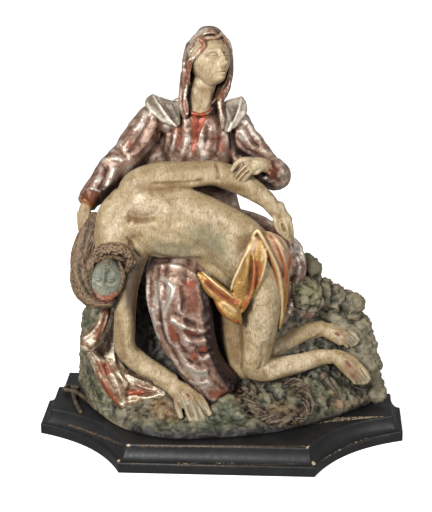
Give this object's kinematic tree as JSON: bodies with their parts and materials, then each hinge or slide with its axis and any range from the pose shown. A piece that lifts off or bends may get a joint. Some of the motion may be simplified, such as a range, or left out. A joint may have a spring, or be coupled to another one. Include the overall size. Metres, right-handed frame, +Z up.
{
  "type": "pieta statue",
  "caption": "Carved and painted wooden pieta: a seated hooded woman holds a dead man across her knees on a rock, on a moulded black plinth with hollowed front corners.",
  "frame": {"origin": "middle of the plinth's underside, halfway between its front and back and between its sides", "axes": "+Z up; -Y towards the viewer, the side that the plinth's hollowed corners face; +X to the viewer's right, the side of the dead man's feet"},
  "size_m": [0.4, 0.208, 0.4456],
  "materials": {
    "ebonised_wood": "black-stained and polished hardwood moulding, worn brown on its top edge, with light chips along its joints",
    "polychromed_wood": "carved wood painted over gesso: ivory flesh with a brown patina, silver leaf under worn red-brown lacquer on the gown, gold leaf on red ground on the loincloth, dark green and brown rock"
  },
  "bodies": {
    "root": {"plinth": "ebonised_wood", "figure_group": "polychromed_wood"}
  },
  "joints": []
}
